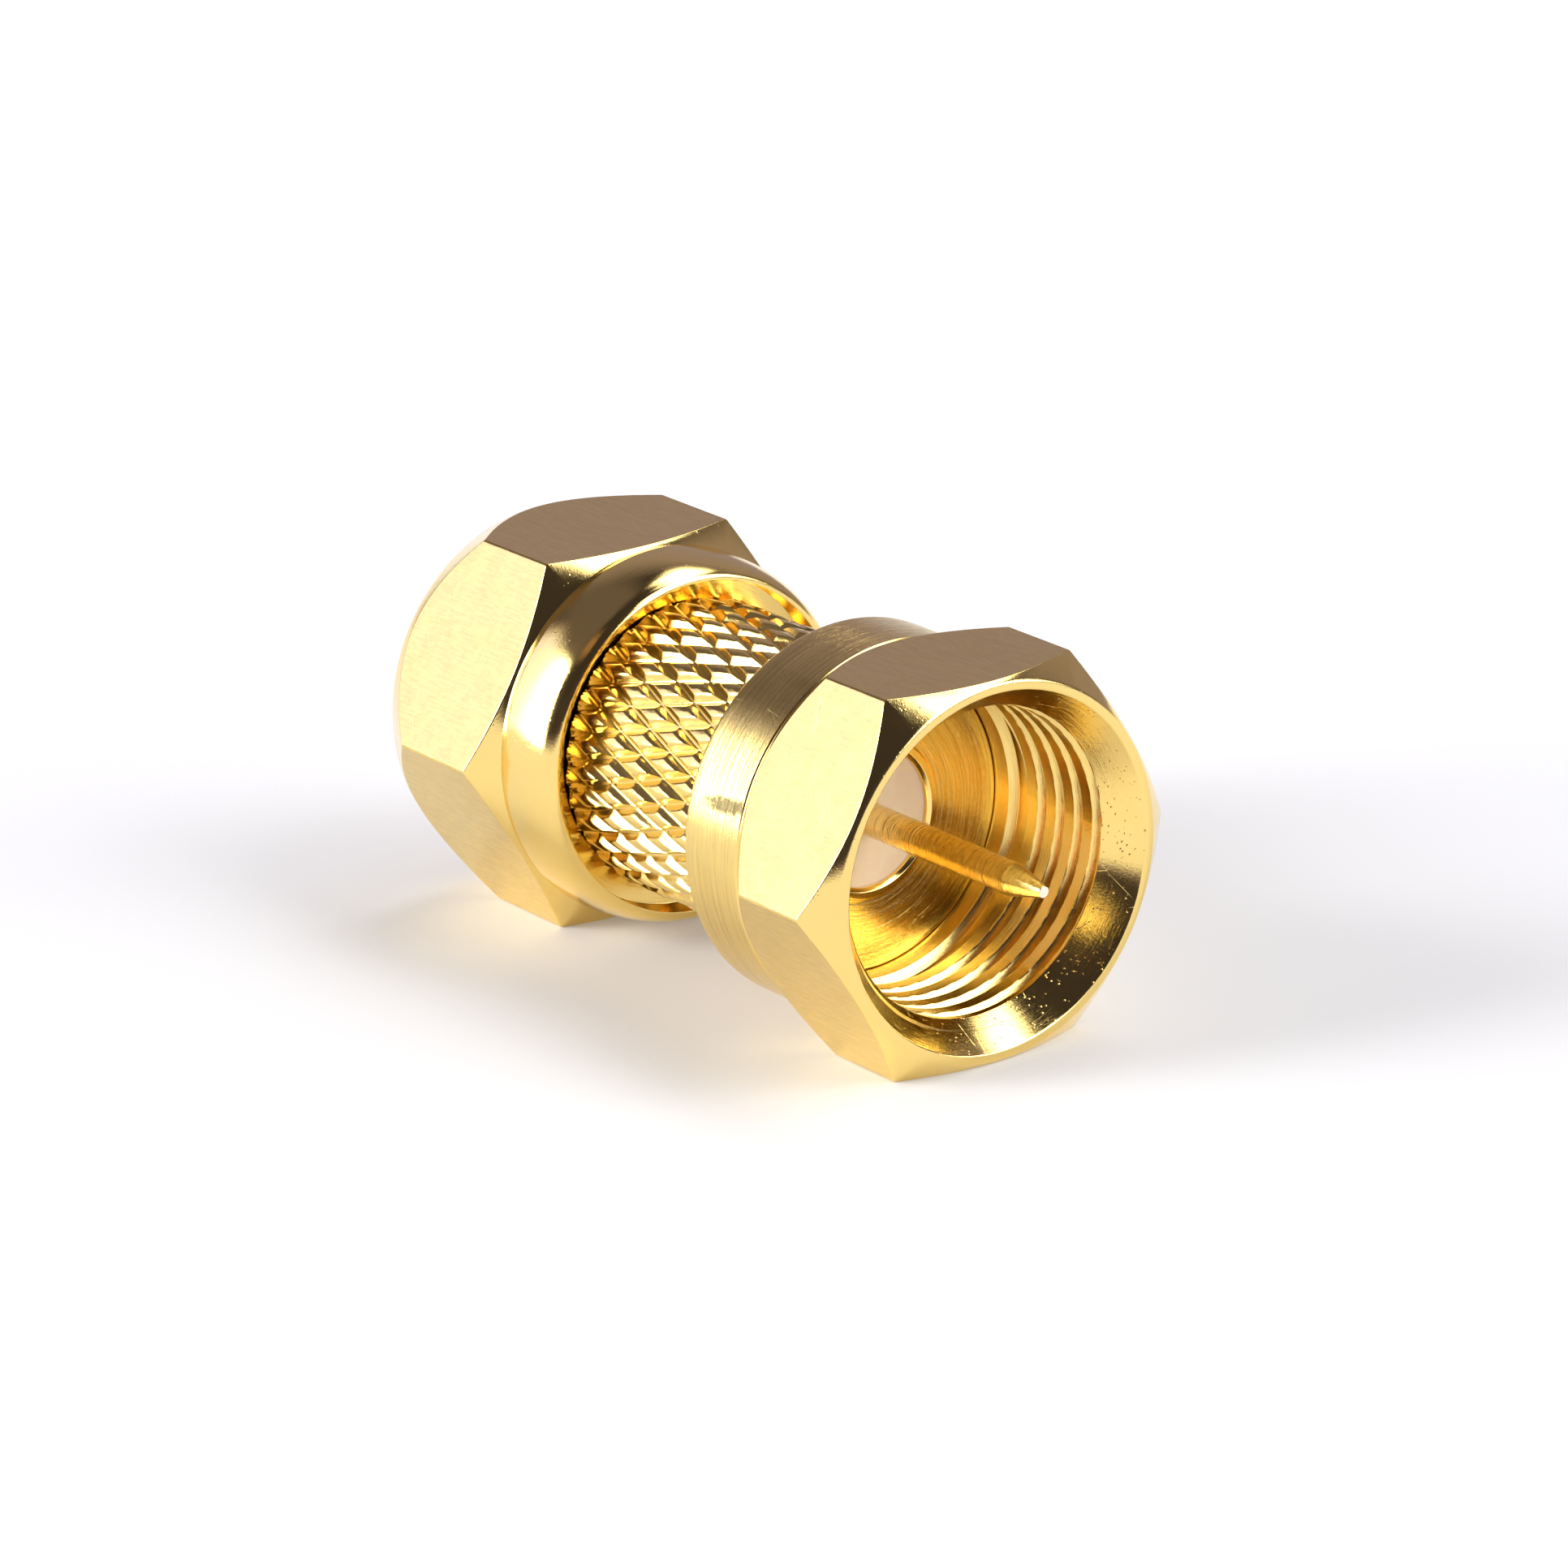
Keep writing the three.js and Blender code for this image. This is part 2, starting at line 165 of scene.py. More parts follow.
def merge_doubles(mesh):
    bm = bmesh.new()
    bm.from_mesh(mesh)
    bmesh.ops.remove_doubles(bm, verts=bm.verts, dist=1e-7)
    bm.to_mesh(mesh)
    bm.free()


def face_out(mesh):
    """Turns the faces outwards if the closed mesh came out inside out."""
    mesh.calc_loop_triangles()
    places = np.zeros(len(mesh.vertices) * 3, np.float32)
    mesh.vertices.foreach_get("co", places)
    places = places.reshape(-1, 3).astype(float)
    triangles = np.zeros(len(mesh.loop_triangles) * 3, np.int32)
    mesh.loop_triangles.foreach_get("vertices", triangles)
    tri = places[triangles.reshape(-1, 3)]
    if np.einsum("ij,ij->i", tri[:, 0], np.cross(tri[:, 1], tri[:, 2])).sum() < 0:
        mesh.flip_normals()


def ring_mesh(name, rows, angles, row_surface, materials, sharp, closed=True):
    """Sweeps rows (columns, rows, (x, r)) round X, one column per angle.

    row_surface is the material index after each row, for all columns or per
    column. An open profile starts and ends on the axis and is merged there.
    """
    cols, count, _ = rows.shape
    x, r = rows[..., 0], rows[..., 1]
    verts = np.stack([x, r * np.cos(angles)[:, None], r * np.sin(angles)[:, None]], -1)
    verts = verts.reshape(-1, 3) * MM
    col = np.arange(cols)[:, None]
    row = np.arange(count if closed else count - 1)[None]
    next_col, next_row = (col + 1) % cols, (row + 1) % count
    quads = np.stack([col * count + row, next_col * count + row,
                      next_col * count + next_row, col * count + next_row], -1).reshape(-1, 4)
    mesh = bpy.data.meshes.new(name)
    mesh.vertices.add(len(verts))
    mesh.vertices.foreach_set("co", verts.astype(np.float32).ravel())
    mesh.loops.add(quads.size)
    mesh.loops.foreach_set("vertex_index", quads.ravel().astype(np.int32))
    mesh.polygons.add(len(quads))
    mesh.polygons.foreach_set("loop_start", np.arange(0, quads.size, 4, dtype=np.int32))
    for material in materials:
        mesh.materials.append(material)
    index = np.broadcast_to(np.array(row_surface)[..., row[0]], (cols, row.shape[1])).ravel()
    mesh.polygons.foreach_set("material_index", index.astype(np.int32))
    mesh.update(calc_edges=True)
    mesh.validate()
    mesh.polygons.foreach_set("use_smooth", np.ones(len(mesh.polygons), bool))
    mesh.set_sharp_from_angle(angle=math.radians(sharp))
    ob = bpy.data.objects.new(name, mesh)
    bpy.context.scene.collection.objects.link(ob)
    if not closed:
        merge_doubles(mesh)
    face_out(mesh)
    return ob


def turned_mesh(name, profile, materials, surfaces=None, cols=160, sharp=35, closed=True):
    """profile: corners (x, r) or (x, r, rounding radius, rounding steps)."""
    x, r, radii, steps = zip(*[(*corner, 0.0, 0)[:4] for corner in profile])
    points = np.stack([x, r], -1)[None].repeat(cols, 0)
    rows, owner = rounded(points, radii, steps)
    surfaces = surfaces or [0] * len(profile)
    return ring_mesh(name, rows, np.arange(cols) / cols * TAU, [surfaces[k] for k in owner],
                     materials, sharp, closed)


def turn_round(ob):
    """Half turn about Z, from end a to end b."""
    ob.data.transform(Matrix.Rotation(math.pi, 4, "Z"))
    return ob


def even_shading(ob):
    modifier = ob.modifiers.new("even_shading", "WEIGHTED_NORMAL")
    modifier.mode = "FACE_AREA"
    modifier.weight = 60
    modifier.keep_sharp = True


def keep(ob, body, node):
    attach(ob, body)
    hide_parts(node)


# -------------------------------------------------------------- shader graphs
class Graph:
    """Builds nodes. An input takes a socket, a number, a list as a vector or an
    RGB tuple as an opaque colour; None leaves it alone."""

    def __init__(self, owner):
        owner.use_nodes = True
        self.tree = owner.node_tree
        self.tree.nodes.clear()

    def put(self, socket, value):
        if isinstance(value, bpy.types.NodeSocket):
            self.tree.links.new(value, socket)
        elif isinstance(value, tuple):
            socket.default_value = (*value, 1)
        elif value is not None:
            socket.default_value = value

    def fill(self, node, inputs):
        for key, value in inputs.items():
            self.put(node.inputs[key], value)

    def new(self, kind, inputs=None, **settings):
        node = self.tree.nodes.new(kind)
        for key, value in settings.items():
            setattr(node, key, value)
        self.fill(node, inputs or {})
        return node

    def principled(self, inputs):
        shader = self.new("ShaderNodeBsdfPrincipled", inputs)
        self.new("ShaderNodeOutputMaterial", {0: shader.outputs[0]})
        return shader

    def math(self, operation, *values, clamp=False):
        return self.new("ShaderNodeMath", dict(enumerate(values)),
                        operation=operation, use_clamp=clamp).outputs[0]

    def add(self, a, b):
        return self.math("ADD", a, b)

    def sub(self, a, b):
        return self.math("SUBTRACT", a, b)

    def mul(self, a, b):
        return self.math("MULTIPLY", a, b)

    def swing(self, value, amount):
        """A 0 to 1 value, centred on zero and scaled."""
        return self.mul(self.sub(value, 0.5), amount)

    def inside(self, distance, reach):
        """1 at no distance, down to 0 at the reach."""
        return self.math("SUBTRACT", 1.0, self.math("DIVIDE", distance, reach), clamp=True)

    def remap(self, value, low, high, at_low=0, at_high=1):
        inputs = dict(enumerate((value, low, high, at_low, at_high)))
        return self.new("ShaderNodeMapRange", inputs, clamp=True).outputs[0]

    def combine(self, x, y, z):
        return self.new("ShaderNodeCombineXYZ", {0: x, 1: y, 2: z}).outputs[0]

    def scaled(self, *pairs):
        """A vector of three (value, scale) pairs."""
        return self.combine(*[self.mul(value, scale) for value, scale in pairs])

    def noise(self, vector, scale=1.0, detail=2.0, rough=0.5):
        inputs = {"Vector": vector, "Scale": scale, "Detail": detail, "Roughness": rough}
        return self.new("ShaderNodeTexNoise", inputs, noise_dimensions="3D").outputs["Fac"]

    def voronoi(self, vector, scale, feature="F1"):
        return self.new("ShaderNodeTexVoronoi", {"Vector": vector, "Scale": scale},
                        feature=feature).outputs["Distance"]

    def mix(self, factor, a, b):
        return self.new("ShaderNodeMix", {0: factor, 6: a, 7: b}, data_type="RGBA").outputs[2]

    def bump(self, height, strength, depth, normal=None):
        """depth in mm."""
        return self.new("ShaderNodeBump", {"Strength": strength, "Distance": depth * MM,
                                           "Height": height, "Normal": normal}).outputs[0]


class AxialGraph(Graph):
    """A material's graph, with its place in mm (x, y, z, xyz), the distance from
    the axis (rho) and the direction round it (cos, sin)."""

    def __init__(self, name):
        self.material = bpy.data.materials.new(name)
        super().__init__(self.material)
        place = self.new("ShaderNodeTexCoord").outputs["Object"]
        split = self.new("ShaderNodeSeparateXYZ", {0: place})
        self.x, self.y, self.z = [self.mul(axis, 1000.0) for axis in split.outputs]
        squares = self.add(self.mul(self.y, self.y), self.mul(self.z, self.z))
        self.rho = self.math("SQRT", squares)
        inverse = self.math("DIVIDE", 1.0, self.math("MAXIMUM", self.rho, 0.01))
        self.cos, self.sin = self.mul(self.y, inverse), self.mul(self.z, inverse)
        self.xyz = self.combine(self.x, self.y, self.z)

    def turned(self, along, around):
        """Coordinates for marks that run round the axis, on sides and on faces."""
        across = self.add(self.x, self.mul(self.rho, 1.13))
        return self.scaled((across, along), (self.cos, around), (self.sin, around))

    def drawn(self, along, around):
        """Coordinates for lines along the axis."""
        return self.scaled((self.x, along), (self.y, around), (self.z, around))


# ----------------------------------------------------------------- materials
PLAIN = dict(
    colour=(0.97, 0.725, 0.25),  # pale plate
    deep=(0.90, 0.58, 0.14),     # deep plate that the colour drifts to, as far as tint
    specks=0.25,                 # tiny dark marks in the plate
    dull=0.0,                    # added unevenness of the roughness
    rings=0.0,                   # fine turning marks round the axis; above 0.5 also coarse ones
    ring_scale=9.0,              # how closely the rings lie
    dash_mix=0.36,               # darkness of the dashes between strong rings
    lines=0.0,                   # drawn or milled lines along the axis
    grain=0.0,                   # fine pitting
    waves=0.0,                   # slow unevenness
    peel=0.0,                    # finer orange-peel
    dust=0.0,                    # bright raised pips
    marks=0.0,                   # a few long fine scratches
    scuff=None,                  # (x, angle in degrees) of one dark dent
)

# Two families of scratches: x, y and z scale, lean of x with z, cell scale, patch scale
SCRATCHES = (((2.2, 0.25, 0.9), 1.7, 0.55, 0.7),
             ((0.5, 1.9, 1.3), 0.7, 0.75, 1.0))

SCUFF_LENGTH, SCUFF_WIDTH = 1.15, 0.24     # half sizes
SCUFF_LEAN = 0.14


def scuff_mask(net, x, degrees):
    """A ragged ellipse on one side of the axis."""
    cos, sin = math.cos(math.radians(degrees)), math.sin(math.radians(degrees))
    side = net.sub(net.mul(net.sin, cos), net.mul(net.cos, sin))
    facing = net.add(net.mul(net.cos, cos), net.mul(net.sin, sin))
    along = net.math("DIVIDE", net.sub(net.x, x), SCUFF_LENGTH)
    across = net.add(net.mul(side, net.rho), net.mul(along, SCUFF_LEAN))
    across = net.math("DIVIDE", across, SCUFF_WIDTH)
    far = net.math("SQRT", net.add(net.mul(along, along), net.mul(across, across)))
    ragged = net.noise(net.xyz, scale=5.0, detail=4.0, rough=0.7)
    far = net.add(far, net.swing(ragged, amount=1.5))
    near = net.remap(far, 0.6, 1.1, at_low=1, at_high=0)
    return net.mul(near, net.math("GREATER_THAN", facing, 0.5))


def plate_colour(net, look, dent):
    drift = net.noise(net.xyz, scale=0.45, detail=3.0, rough=0.6)
    fine = net.noise(net.xyz, scale=6.0, detail=4.0, rough=0.65)
    depth = net.remap(net.add(net.mul(drift, 0.7), net.mul(fine, 0.3)), 0.35, 0.65)
    colour = net.mix(net.mul(depth, look.tint), look.colour, look.deep)
    # pinpricks, only in patches
    near = net.math("LESS_THAN", net.voronoi(net.xyz, scale=1.7), 0.035)
    patch = net.math("GREATER_THAN", net.noise(net.xyz, scale=0.9, detail=1.0), 0.56)
    colour = net.mix(net.mul(net.mul(near, patch), look.specks), colour, (0.25, 0.15, 0.05))
    red, green, blue = look.colour
    if look.lines:
        dash = net.noise(net.drawn(along=1.6, around=11.0), detail=3.0, rough=0.7)
        dash = net.mul(net.remap(dash, 0.36, 0.64), 0.26)
        colour = net.mix(dash, colour, (red * 0.55, green * 0.55, blue * 0.55))
    if look.rings > 0.5:
        dash = net.noise(net.turned(along=9.0, around=1.1), detail=3.0, rough=0.7)
        dash = net.mul(net.remap(dash, 0.36, 0.66), look.dash_mix)
        colour = net.mix(dash, colour, (red * 0.5, green * 0.45, blue * 0.4))
    if dent is not None:
        colour = net.mix(net.mul(dent, 0.9), colour, (0.07, 0.06, 0.03))
    return colour


def plate_roughness(net, look):
    """Blotches and turned streaks round the mean roughness."""
    blotch = net.noise(net.xyz, scale=1.3, detail=4.0, rough=0.6)
    rough = net.add(look.rough, net.swing(blotch, amount=0.08 + look.dull))
    streak = net.noise(net.turned(along=7.0, around=1.6), detail=3.0, rough=0.6)
    rough = net.add(rough, net.swing(streak, amount=0.10 if look.rings else 0.02))
    return net.math("MAXIMUM", rough, 0.04)


def plate_normal(net, look, dent):
    """A chain of bumps, each on top of the one before."""
    xyz = net.xyz
    normal = None
    if look.waves:
        normal = net.bump(net.noise(xyz, scale=0.9), look.waves, depth=0.04)
    if look.peel:
        normal = net.bump(net.noise(xyz, scale=3.2), look.peel, depth=0.01, normal=normal)
    if look.dust:
        pip = net.inside(net.voronoi(xyz, scale=7.0), reach=0.24)
        patch = net.math("GREATER_THAN", net.noise(xyz, scale=3.0, rough=0.6), 0.50)
        normal = net.bump(net.mul(pip, patch), look.dust, depth=0.02, normal=normal)
    if look.marks:
        for (scale_x, scale_y, scale_z), lean, cell, patch_scale in SCRATCHES:
            leaning = net.add(net.mul(net.x, scale_x), net.mul(net.z, lean))
            place = net.combine(leaning, net.mul(net.y, scale_y), net.mul(net.z, scale_z))
            cut = net.inside(net.voronoi(place, cell, "DISTANCE_TO_EDGE"), reach=0.012)
            cut = net.mul(cut, net.remap(net.noise(xyz, patch_scale), 0.52, 0.62))
            normal = net.bump(net.mul(cut, -1.0), look.marks, depth=0.004, normal=normal)
    if look.rings:
        fine = net.noise(net.turned(look.ring_scale, around=1.4), detail=5.0, rough=0.72)
        normal = net.bump(fine, look.rings, depth=0.02, normal=normal)
    if look.rings > 0.5:
        coarse = net.noise(net.turned(along=3.2, around=0.9))
        normal = net.bump(coarse, look.rings * 0.6, depth=0.03, normal=normal)
    if look.lines:
        lines = net.noise(net.drawn(along=0.8, around=14.0), detail=4.0, rough=0.7)
        normal = net.bump(lines, look.lines, depth=0.01, normal=normal)
    if look.grain:
        pits = net.noise(xyz, scale=16.0, detail=3.0, rough=0.7)
        normal = net.bump(pits, look.grain, depth=0.006, normal=normal)
    if dent is not None:
        normal = net.bump(net.mul(dent, -1.0), strength=0.5, depth=0.02, normal=normal)
    return normal


def gold(name, **finish):
    """Gold plate over turned brass. finish: rough, tint and changes to PLAIN."""
    look = SimpleNamespace(**{**PLAIN, **finish})
    net = AxialGraph(name)
    dent = scuff_mask(net, *look.scuff) if look.scuff else None
    net.principled({"Metallic": 1.0,
                    "Base Color": plate_colour(net, look, dent),
                    "Roughness": plate_roughness(net, look),
                    "Normal": plate_normal(net, look, dent)})
    return net.material


def plastic(name):
    """Mottled cream plastic with a few specks, faint facing rings and a painted warm glow."""
    net = AxialGraph(name)
    mottled = net.remap(net.noise(net.xyz, scale=2.2, detail=4.0, rough=0.6), 0.35, 0.7)
    # mottled cream, made lighter and warmer than the plastic's own colour as painted bounce light
    # from the gold
    colour = net.mix(mottled, (0.99, 0.83, 0.61), (0.95, 0.76, 0.53))
    speck = net.math("LESS_THAN", net.voronoi(net.xyz, scale=2.3), 0.04)
    colour = net.mix(net.mul(speck, 0.4), colour, (0.45, 0.33, 0.24))
    uneven = net.noise(net.xyz, scale=5.0, detail=3.0, rough=0.6)
    rings = net.noise(net.scaled((net.rho, 14.0), (net.cos, 1.2), (net.sin, 1.2)),
                      detail=3.0, rough=0.6)
    normal = net.bump(rings, strength=0.25, depth=0.01)
    fine = net.noise(net.xyz, scale=9.0, detail=3.0, rough=0.6)
    net.principled({
        "Base Color": colour,
        "Roughness": net.remap(uneven, 0.3, 0.7, at_low=0.42, at_high=0.6),
        "Emission Color": (1.0, 0.66, 0.40),     # painted glow: warm emission standing in for bounce light from the gold round the bead
        "Emission Strength": 0.15,
        "Subsurface Weight": 0.25,
        "Subsurface Radius": [1.0, 0.8, 0.6],
        "Subsurface Scale": 0.4 * MM,
        "Normal": net.bump(fine, strength=0.2, depth=0.01, normal=normal)})
    return net.material


FLAT_GOLD = gold("gold_flats", rough=0.17, lines=0.32, grain=0.25, waves=0.45, peel=0.30,
                 marks=0.5, dull=0.06, tint=0.20)
COLLAR_A_GOLD = gold("gold_collar_brushed", rough=0.20, rings=0.90, ring_scale=10.0, tint=0.14,
                     marks=0.4, scuff=(5.40, 161.3))
COLLAR_B_GOLD = gold("gold_collar_polished", rough=0.10, rings=0.20, ring_scale=6.0, grain=0.30,
                     dust=0.12, tint=0.10)
RIM_GOLD = gold("gold_rims", rough=0.09, rings=0.12, grain=0.30, peel=0.12, dust=0.15,
                tint=0.10, specks=0.6)
BORE_GOLD = gold("gold_bore", rough=0.16, rings=0.35, ring_scale=7.0, grain=0.3, tint=0.30)
LEAD_GOLD = gold("gold_lead_in", rough=0.09, rings=0.30, ring_scale=5.0, grain=0.35, dust=0.6,
                 marks=0.8, tint=0.30, specks=0.8)
THREAD_GOLD = gold("gold_thread", rough=0.12, rings=0.25, ring_scale=10.0, grain=0.3, tint=0.25)
GROOVE_GOLD = gold("gold_groove", rough=0.15, rings=0.2, tint=0.2)
KNURL_GOLD = gold("gold_knurl", rough=0.16, grain=0.45, peel=0.25, tint=0.30, specks=0.35,
                  colour=(0.97, 0.73, 0.235))
SEAT_GOLD = gold("gold_seat_turned", rough=0.13, rings=1.0, ring_scale=7.0, grain=0.3,
                 tint=0.30, dash_mix=0.45)
LIP_GOLD = gold("gold_staked_lip", rough=0.10, rings=0.2, tint=0.1)
PIN_GOLD = gold("gold_pin", rough=0.12, rings=0.55, ring_scale=7.0, grain=0.15, tint=0.15,
                dash_mix=0.5, colour=(0.99, 0.79, 0.34))
# painted highlight: the pin's flat ends are given a pale, near-white gold
TIP_HIGHLIGHT_GOLD = gold("pin_end_painted_highlight", rough=0.30, grain=0.5, tint=0.3, colour=(1.0, 0.93, 0.76),
                deep=(0.97, 0.86, 0.62))
PLASTIC = plastic("insulator_plastic")


# ------------------------------------------------------------- coupling nuts
COLLAR, RIM, FLAT, BORE, THREAD, GROOVE, LEAD = range(7)   # material slots of a nut


def hex_columns():
    """Angle and radius of each column round a hexagon with rounded corners.

    One flat faces straight down.
    """
    angles, radii = [], []
    edge = (HEX_H - HEX_FILLET) * math.tan(math.pi / 6)    # half width of the true flat
    half_angle = math.atan2(edge, HEX_H)
    centre = HEX_R - HEX_FILLET / math.cos(math.pi / 6)    # of the corner's arc
    for k in range(6):
        middle = math.radians(30 + 60 * k)
        for i in range(FLAT_COLS):
            a = -half_angle + 2 * half_angle * i / (FLAT_COLS - 1)
            angles.append(middle + a)
            radii.append(HEX_H / math.cos(a))
        for i in range(1, CORNER_COLS):
            turn = -math.pi / 6 + (math.pi / 3) * i / CORNER_COLS
            x, y = centre + HEX_FILLET * math.cos(turn), HEX_FILLET * math.sin(turn)
            angles.append(middle + math.pi / 6 + math.atan2(y, x))
            radii.append(math.hypot(x, y))
    return np.array(angles), np.array(radii)


def lead_cone(x):
    return MOUTH_R - (FRONT - x) * LEAD_SLOPE


def thread_radius(x, angle):
    """Right-hand thread with broad flat crests and narrow round-bottomed grooves,
    run out into the lead-in cone. Also says where the cone is the surface."""
    phase = np.mod((x - THREAD_X) / PITCH - THREAD_TURN - angle / TAU, 1.0)
    off_groove = np.abs(phase - (1 - THREAD_GROOVE_HALF))
    depth = np.clip(1 - off_groove / THREAD_GROOVE_HALF, 0, 1)
    depth = 0.5 * depth + 0.5 * np.sin(depth * math.pi / 2)
    radius = MINOR_R + (ROOT_R - MINOR_R) * depth
    cone = lead_cone(x)
    return np.maximum(radius, cone), cone > radius


def nut_mesh(name, lip, collar, groove, rear, front, collar_gold):
    """collar: corners (x, r, rounding, steps) from the lip to the groove.
    groove: start x, end x and radius.
    rear, front: x of the hexagon's chamfers at mid flat and at the corner."""
    angles, hexagon = hex_columns()
    count = len(angles)
    rear_slope = (rear[1] - rear[0]) / (HEX_R - HEX_H)
    front_slope = (front[0] - front[1]) / (HEX_R - HEX_H)
    groove_start, groove_end, groove_r = groove
    chamfer_foot = rear[0] - (HEX_H - groove_r) * rear_slope
    face_r = HEX_H - (FRONT - front[0]) / front_slope + 0.06

    # x, r, rounding radius, rounding steps, surface that follows the corner
    outer = [
        (lip, SKIRT_R, 0.03, 2, RIM),
        *[(*corner, COLLAR) for corner in collar],
        (groove_start, collar[-1][1], 0.025, 2, GROOVE),
        (groove_start + 0.03, groove_r, 0.02, 2, GROOVE),
        (min(groove_end, chamfer_foot - 0.01), groove_r, 0.02, 2, RIM),
        (chamfer_foot, groove_r, 0.02, 1, RIM),
        (rear[0] + (hexagon - HEX_H) * rear_slope, hexagon, 0.07, 4, FLAT),
        (front[0] - (hexagon - HEX_H) * front_slope, hexagon, 0.07, 4, RIM),
        (FRONT, max(face_r, MOUTH_R + 0.05), 0.24, 7, RIM),
        (FRONT, MOUTH_R, 0.09, 5, LEAD),
        (LEAD_X, lead_cone(LEAD_X), 0.0, 0, THREAD),
    ]
    inner = [
        (THREAD_X, RELIEF_R, 0.0, 0, BORE),
        (RELIEF_X, RELIEF_R, 0.03, 2, BORE),
        (RELIEF_X - 0.12, CHAMBER_R, 0.03, 2, BORE),
        (CHAMBER_X, CHAMBER_R, 0.03, 2, BORE),
        (CHAMBER_X, SHOULDER_R, 0.03, 2, BORE),
        (SHOULDER_X, SHOULDER_R, 0.03, 2, BORE),
        (SHOULDER_X, SKIRT_R, 0.05, 2, BORE),
    ]
    xs, rs, radii, steps, surfaces = zip(*(outer + inner))
    points = np.stack([np.stack([np.full(count, x), np.full(count, r)], -1)
                       for x, r in zip(xs, rs)], 1)
    rows, owner = rounded(points, radii, steps)

    # the surface before a rounded corner runs on to the middle of the rounding
    row_surface = [surfaces[k] for k in owner]
    for i, k in enumerate(owner[:-1]):
        if owner[i + 1] == k and i - owner.index(k) < steps[k] / 2:
            row_surface[i] = surfaces[k - 1]

    # the thread goes in between the outer and the inner corners
    cut = owner.index(len(outer))
    thread_x = np.arange(LEAD_X - 0.02, THREAD_X + 0.005, -THREAD_STEP)
    thread_x = np.append(thread_x, THREAD_X)
    bore, on_cone = thread_radius(thread_x[None], angles[:, None])
    thread = np.stack([np.broadcast_to(thread_x[None], bore.shape), bore], -1)
    rows = np.concatenate([rows[:, :cut], thread, rows[:, cut:]], 1)
    row_surface[cut:cut] = [THREAD] * (len(thread_x) - 1) + [BORE]
    row_surface = np.repeat(np.array(row_surface)[None], count, 0)
    row_surface[:, cut:cut + len(thread_x)][on_cone] = LEAD

    materials = [collar_gold, RIM_GOLD, FLAT_GOLD, BORE_GOLD, THREAD_GOLD, GROOVE_GOLD, LEAD_GOLD]
    ob = ring_mesh(name, rows, angles, row_surface, materials, sharp=40)
    even_shading(ob)
    return ob


def curved_collar(lip, end_x=4.85, start_r=4.93, end_r=5.475, steps=14):
    """Collar rounded from the lip to the groove, steep at the lip."""
    curve = []
    for i in range(steps + 1):
        turn = math.pi / 2 * i / steps
        curve.append((lip + (end_x - lip) * (1 - math.cos(turn)),
                      start_r + (end_r - start_r) * math.sin(turn) ** 0.9, 0.0, 0))
    return curve


nut_a = nut_mesh("nut_a_body", LIP_A, collar=[(LIP_A, 5.48, 0.34, 8)],
                 groove=(6.02, 6.09, 5.435), rear=(6.18, 7.34), front=(10.55, 9.87),
                 collar_gold=COLLAR_A_GOLD)
keep(nut_a, "nut_a", "coupling_nut_a")

nut_b = nut_mesh("nut_b_body", LIP_B, collar=curved_collar(LIP_B),
                 groove=(4.87, 5.10, 5.40), rear=(5.21, 5.69), front=(10.30, 8.72),
                 collar_gold=COLLAR_B_GOLD)
keep(turn_round(nut_b), "nut_b", "coupling_nut_b")


# ------------------------------------------------------------ knurled barrel
def knurl_radius(x, angle):
    """Flat-topped diamonds between two families of crossing grooves."""
    around = (angle - KNURL_ANGLE) / (TAU / DIAMONDS)
    along = (x - KNURL_X) / (2 * DIAMOND_HALF)
    first = np.mod(around + along + 0.5, 1.0)
    second = np.mod(around - along + 0.5, 1.0)
    # distance from the edges of the diamond, where the grooves run
    first, second = np.minimum(first, 1 - first), np.minimum(second, 1 - second)
    nearest = np.minimum(first, second)
    rise = np.clip((nearest - KNURL_FLOOR) / (KNURL_LAND - KNURL_FLOOR), 0, 1)
    rise = 0.55 * rise + 0.45 * rise * rise * (3 - 2 * rise)
    dome = KNURL_DOME * (1 - np.clip((first * second - 0.07) / 0.18, 0, 1))
    return KNURL_R - KNURL_DEPTH * (1 - rise) - dome * rise


def barrel():
    cols = DIAMONDS * 2 * DIAMOND_STEPS
    angles = KNURL_ANGLE + np.arange(cols) / cols * TAU
    step = DIAMOND_HALF / DIAMOND_STEPS
    first, last = [math.ceil((end - KNURL_X) / step) for end in (-KNURL_END, KNURL_END)]
    stations = [KNURL_X + step * k for k in range(first, last)]
    stations = [x for x in stations if abs(x) < KNURL_END - 0.03]
    xs = np.array([-KNURL_END, *stations, KNURL_END])
    radius = knurl_radius(xs[None], angles[:, None])
    from_end = np.minimum(xs + KNURL_END, KNURL_END - xs)[None]
    radius = np.minimum(radius, KNURL_RIM_R + from_end * KNURL_RIM_SLOPE)
    knurl = np.stack([np.broadcast_to(xs[None], radius.shape), radius], -1)
    # (x, r) of the neck and the bore, from the +X end to the middle, then mirrored
    half = [(KNURL_END, NECK_R), (NECK_END, NECK_R), (NECK_END, BARREL_BORE_R),
            (WEB_X, BARREL_BORE_R), (WEB_X, WEB_R)]
    plain = np.array(half + [(-x, r) for x, r in reversed(half)])
    rows = np.concatenate([knurl, np.broadcast_to(plain, (cols, *plain.shape))], 1)
    row_surface = [0] * (len(xs) - 1) + [1] * (len(plain) + 1)
    return ring_mesh("barrel_body", rows, angles, row_surface, [KNURL_GOLD, BORE_GOLD], sharp=28)


keep(barrel(), "barrel", "knurled_barrel")


